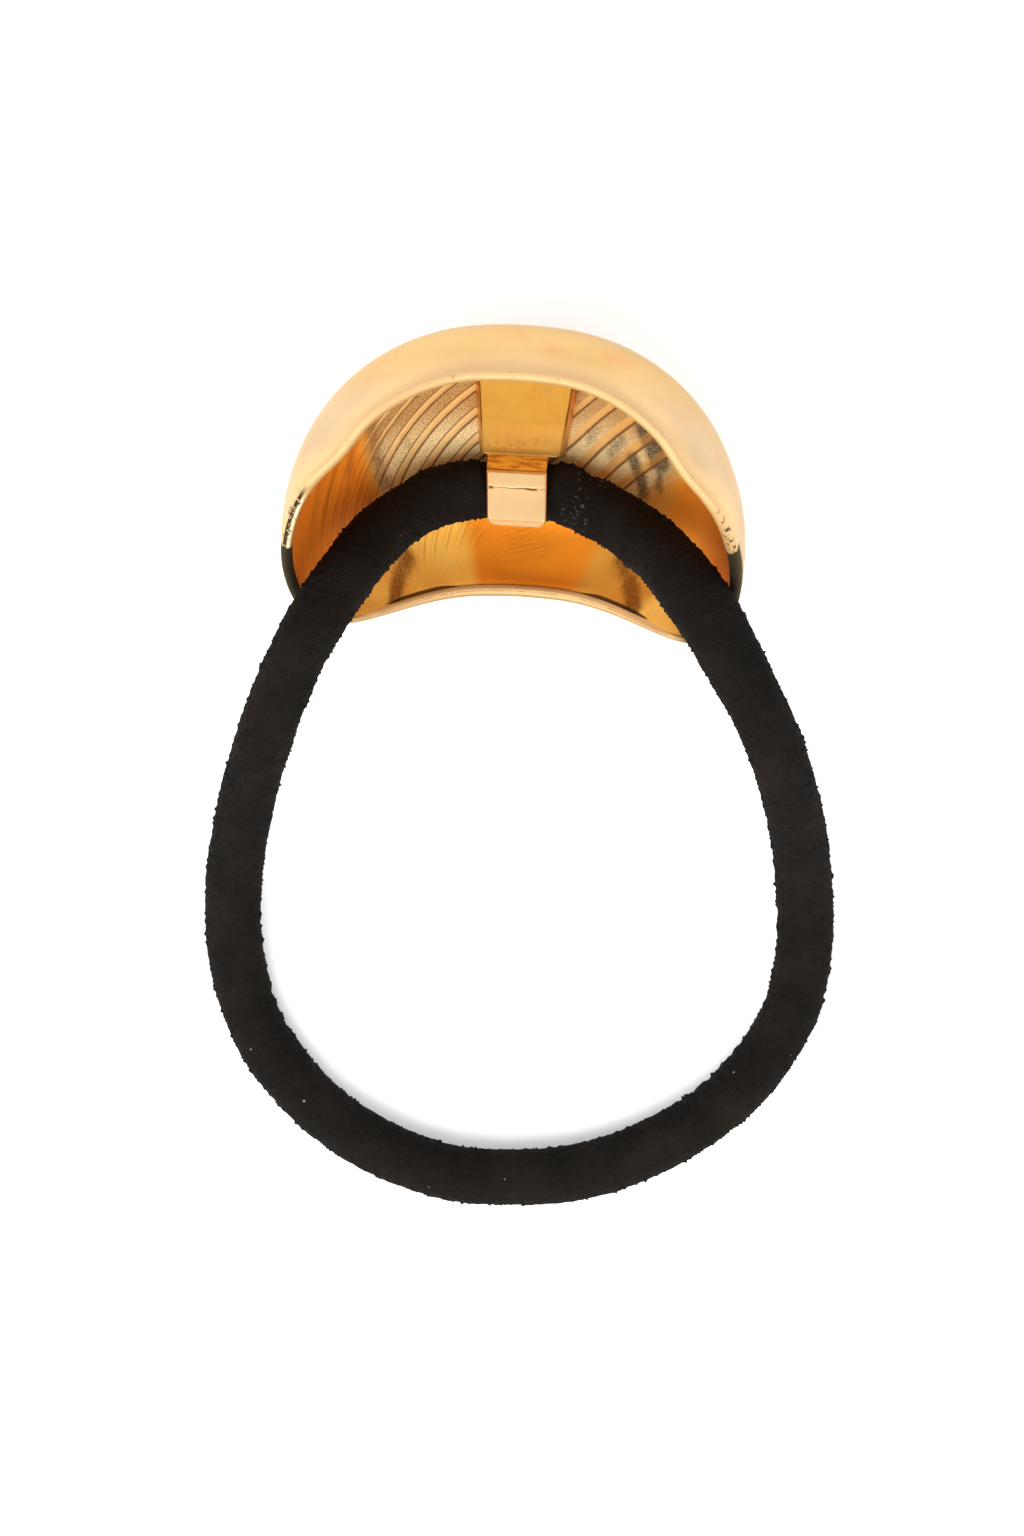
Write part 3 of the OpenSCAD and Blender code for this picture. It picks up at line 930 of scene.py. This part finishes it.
class HAIRTIE_OT_shell(bpy.types.Operator):
    """The curved shell of the cuff, smooth outside and ribbed inside, with a rounded rim"""

    bl_idname = "hairtie.shell"
    bl_label = "Cuff shell"

    def execute(self, context):
        sizes = context.scene.hair_tie_cuff
        crown = crown_point(sizes)
        bm = bmesh.new()
        s_layer = bm.verts.layers.float.new("wrap")
        t_layer = bm.verts.layers.float.new("height")
        rim_layer = bm.verts.layers.float.new("from_rim")
        around_layer = bm.verts.layers.float.new("around")
        shade_layer = bm.verts.layers.float.new("shade")
        reach = grid_reach(sizes)[0]
        borders = []
        sheets = ((130, 76, sizes.wall / 2), (360, 200, -sizes.wall / 2))
        for inner, (wrap_steps, height_steps, off) in enumerate(sheets):
            made = bmesh.ops.create_grid(
                bm, x_segments=wrap_steps, y_segments=height_steps, size=1)["verts"]
            faces = {f for v in made for f in v.link_faces}
            for face in faces:
                face.material_index = inner
            for vert in made:
                u, v = vert.co.x, vert.co.y
                wrap = reach * math.sin(math.radians(89) * (0.75 * u + 0.25 * u ** 3))
                height = half_height(sizes, wrap) * (0.7 * v + 0.3 * math.sin(math.pi / 2 * v))
                vert[s_layer], vert[t_layer] = wrap, height
                vert[rim_layer] = rim_distance(sizes, wrap, height) / MM
                vert[around_layer] = -90 if inner else 90
                vert[shade_layer] = shade(wrap, height)
                deeper = inner_relief(sizes, wrap, height) if inner else 0.0
                vert.co = crown + shell_point(sizes, wrap, height, off - deeper)
            borders.append([e for f in faces for e in f.edges if len(e.link_faces) == 1])
            if not inner:
                bmesh.ops.reverse_faces(bm, faces=list(faces))
        edges = borders[1]
        for angle, full in RIM:
            made = bmesh.ops.extrude_edge_only(bm, edges=edges)["geom"]
            edges = [g for g in made if isinstance(g, bmesh.types.BMEdge)]
            out = full * sizes.wall / 2 * math.cos(math.radians(angle))
            off = full * sizes.wall / 2 * math.sin(math.radians(angle))
            for vert in (g for g in made if isinstance(g, bmesh.types.BMVert)):
                wrap, height = vert[s_layer], vert[t_layer]
                vert[around_layer] = angle
                step = outward(sizes, wrap, height) * out
                vert.co = crown + shell_point(sizes, wrap + step.x, height + step.y, off)
            for face in (g for g in made if isinstance(g, bmesh.types.BMFace)):
                face.material_index = 2
        last = bmesh.ops.bridge_loops(bm, edges=edges + borders[0])["faces"]
        for face in last:
            face.material_index = 2
        uv = bm.loops.layers.uv.new("wall")
        for face in bm.faces:
            for loop in face.loops:
                loop[uv].uv = (loop.vert[s_layer] * 10, loop.vert[t_layer] * 10)
        bmesh.ops.recalc_face_normals(bm, faces=bm.faces[:])
        materials = [outer_gold(sizes), inner_gold(sizes), rim_gold(sizes)]
        shell = finish_mesh(bm, "cuff_shell", materials)
        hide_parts("cuff")
        return {"FINISHED"}


def strap_sections():
    """The strap's sections at short steps: along Y and Z the face and the underside, then the
    half widths and the middle's place along X, with the tab's two corners rounded."""
    step = 0.00025
    made = []
    strap = [(Vector(metres(face)), Vector(metres(under)), *metres(rest))
             for face, under, *rest in STRAP]
    for (face, under, *rest), (face_to, under_to, *rest_to) in zip(strap, strap[1:]):
        steps = math.ceil((face_to - face).length / step)
        if face.x > SEAM_AT - SEAM_REACH and face_to.x < SEAM_AT + SEAM_REACH:
            steps *= 5
        for k in range(steps):
            part = k / steps
            made.append((face.lerp(face_to, part), under.lerp(under_to, part),
                         *(a + (b - a) * part for a, b in zip(rest, rest_to))))
    made.append(strap[-1])
    rounded = []
    for face, under, half_face, half_base, middle in made:
        short = max(0.0, TAB_CORNER - (face.x - TAB_END))
        cut = TAB_CORNER - math.sqrt(max(0.0, TAB_CORNER ** 2 - short ** 2))
        rounded.append((face, under, half_face - cut, half_base - cut, middle))
    return rounded


def ring_place(turn):
    """A place round a strap section: across, from -1 to 1, and down from the face, 0 to 1."""
    across, down = (
        (-1 + turn / 0.20, 0.0) if turn <= 0.40 else
        (1.0, (turn - 0.40) / 0.10) if turn <= 0.50 else
        (1 - (turn - 0.50) / 0.20, 1.0) if turn <= 0.90 else
        (-1.0, 1 - (turn - 0.90) / 0.10))
    return across, down


def seam_mark(across, y):
    """How strong the tab's broken seam is at one place, from 0 to 1."""
    line = SEAM_AT - 0.00002 * across + 0.00003 * math.sin(9 * across)
    most = 0.0
    for start, end, half in SEAM_PARTS:
        shown = smooth(start - 0.02, start + 0.02, across) * smooth(end + 0.02, end - 0.02, across)
        most = max(most, shown * math.exp(-((y - line) / half) ** 4))
    return most


def strap_dent(across, y):
    """How deep the face is at the tab's broken seam and at the neck's wrinkles."""
    bow = y + 0.0004 * across * across
    neck = smooth(-0.0068, -0.0070, y) * smooth(-0.0081, -0.0079, y)
    lip = math.exp(-((y - TAB_END - 0.00045) / 0.00005) ** 2)
    wrinkles = neck * math.sin(bow * math.tau / 0.00042)
    return 0.00001 * seam_mark(across, y) + 0.00001 * lip + 0.00002 * wrinkles


class HAIRTIE_OT_strap(bpy.types.Operator):
    """The strap inside the shell, with the keeper's neck and tab over the elastic"""

    bl_idname = "hairtie.strap"
    bl_label = "Strap and keeper"

    def execute(self, context):
        sizes = context.scene.hair_tie_cuff
        crown = crown_point(sizes)
        sections = strap_sections()
        rows, sides = len(sections) - 1, 120
        corner, cut = 0.00014, 0.29  # size of the rounded long edges, and the part cut off there
        row_of = {}
        bm = bmesh.new()
        bmesh.ops.create_grid(bm, x_segments=rows, y_segments=sides, size=0.5)
        seam_layer = bm.verts.layers.float.new("seam")
        for vert in bm.verts:
            row = row_of[vert] = round((vert.co.x + 0.5) * rows)
            face, under, half_face, half_base, middle = sections[row]
            across, down = ring_place(vert.co.y + 0.5)
            half = half_face + (half_base - half_face) * down
            thick = (under - face).length
            from_side = half * (1 - abs(across))
            from_face = min(down, 1 - down) * thick
            round_off = max(0.0, 1 - from_side / corner) * corner * cut
            side_off = max(0.0, 1 - from_face / corner) * corner * cut
            x = math.copysign(half * abs(across) - side_off, across) if abs(across) > 0.5 \
                else half * across
            sink = round_off + (strap_dent(across, face.x) if down == 0 else 0.0)
            vert[seam_layer] = seam_mark(across, face.x) if down == 0 else 0.0
            inwards = (under - face).normalized()
            point = face.lerp(under, down) + inwards * (sink if down < 0.5 else -round_off)
            vert.co = crown + Vector((middle + x, point.x, point.y))
        valley = next(k for k, section in enumerate(sections) if section[0].x < VALLEY_AT)
        for edge in bm.edges:
            rows_of = {row_of[v] for v in edge.verts}
            if rows_of == {valley - 1}:
                edge.smooth = False
        bmesh.ops.remove_doubles(bm, verts=bm.verts[:], dist=1e-6)
        open_edges = [e for e in bm.edges if len(e.link_faces) == 1]
        bmesh.ops.holes_fill(bm, edges=open_edges, sides=0)
        bmesh.ops.recalc_face_normals(bm, faces=bm.faces[:])
        material = strap_gold(sizes, crown.y + TAB_ROOT)
        finish_mesh(bm, "strap_keeper", [material])
        return {"FINISHED"}


class HAIRTIE_OT_stage(bpy.types.Operator):
    """A plain pale floor and soft studio light"""

    bl_idname = "hairtie.stage"
    bl_label = "Floor and lights"

    def execute(self, context):
        stage = context.scene.hair_tie_stage
        finish = Finish("pale floor")
        grain = finish.object_place().noise(700, 3)
        material = finish.close(
            Base_Color=finish.mix(grain, (0.93, 0.93, 0.93), (0.96, 0.96, 0.96)),
            Roughness=0.8, Normal=finish.bump(grain, 0.05, 0.00002))
        bm = bmesh.new()
        bmesh.ops.create_grid(bm, x_segments=1, y_segments=1, size=3)
        floor = add_mesh(bm, "floor", [material])
        world = bpy.data.worlds.new("soft light")
        world.use_nodes = True
        background = world.node_tree.nodes["Background"]
        background.inputs["Color"].default_value = (1, 1, 1, 1)
        background.inputs["Strength"].default_value = stage.sky
        context.scene.world = world
        lights = (
            ("key", (-0.25, 0.35, 0.6), 0.45, stage.key),
            ("fill", (0.45, -0.1, 0.5), 0.4, stage.key * 0.35),
            ("front", (-0.05, -0.36, 0.6), 0.5, stage.front),
            ("left", (-0.40, -0.35, 0.28), 0.35, stage.side * 1.8),
            ("right", (0.40, -0.35, 0.28), 0.35, stage.side),
        )
        for name, place, size, power in lights:
            data = bpy.data.lights.new(name, "AREA")
            data.size = size
            data.energy = power
            light = bpy.data.objects.new(name, data)
            light.location = place
            light.rotation_euler = (-Vector(place)).to_track_quat("-Z", "Y").to_euler()
            context.scene.collection.objects.link(light)
        context.scene.view_settings.view_transform = "Standard"
        return {"FINISHED"}


class HAIRTIE_PT_panel(bpy.types.Panel):
    """Lists the pieces of the hair tie"""

    bl_idname = "HAIRTIE_PT_panel"
    bl_label = "Hair tie"
    bl_space_type = "VIEW_3D"
    bl_region_type = "UI"
    bl_category = "Hair tie"

    def draw(self, context):
        for operator in OPERATORS:
            self.layout.operator(operator.bl_idname)
        for name in SIZES:
            group = getattr(context.scene, name)
            for prop in group.bl_rna.properties:
                if not prop.is_readonly and prop.identifier != "name":
                    self.layout.prop(group, prop.identifier)


OPERATORS = (HAIRTIE_OT_camera, HAIRTIE_OT_elastic, HAIRTIE_OT_shell, HAIRTIE_OT_strap,
             HAIRTIE_OT_stage)
SIZES = {
    "hair_tie_cuff": CuffSizes,
    "hair_tie_elastic": ElasticSizes,
    "hair_tie_stage": StageSizes,
}


def register():
    for group in (*SIZES.values(), *OPERATORS, HAIRTIE_PT_panel):
        bpy.utils.register_class(group)
    for name, group in SIZES.items():
        setattr(bpy.types.Scene, name, bpy.props.PointerProperty(type=group))


def unregister():
    for name in SIZES:
        delattr(bpy.types.Scene, name)
    for group in reversed((*SIZES.values(), *OPERATORS, HAIRTIE_PT_panel)):
        bpy.utils.unregister_class(group)


def main():
    register()
    bpy.ops.hairtie.camera()
    bpy.ops.hairtie.elastic()
    bpy.ops.hairtie.shell()
    bpy.ops.hairtie.strap()
    bpy.ops.hairtie.stage()


if __name__ == "__main__":
    main()
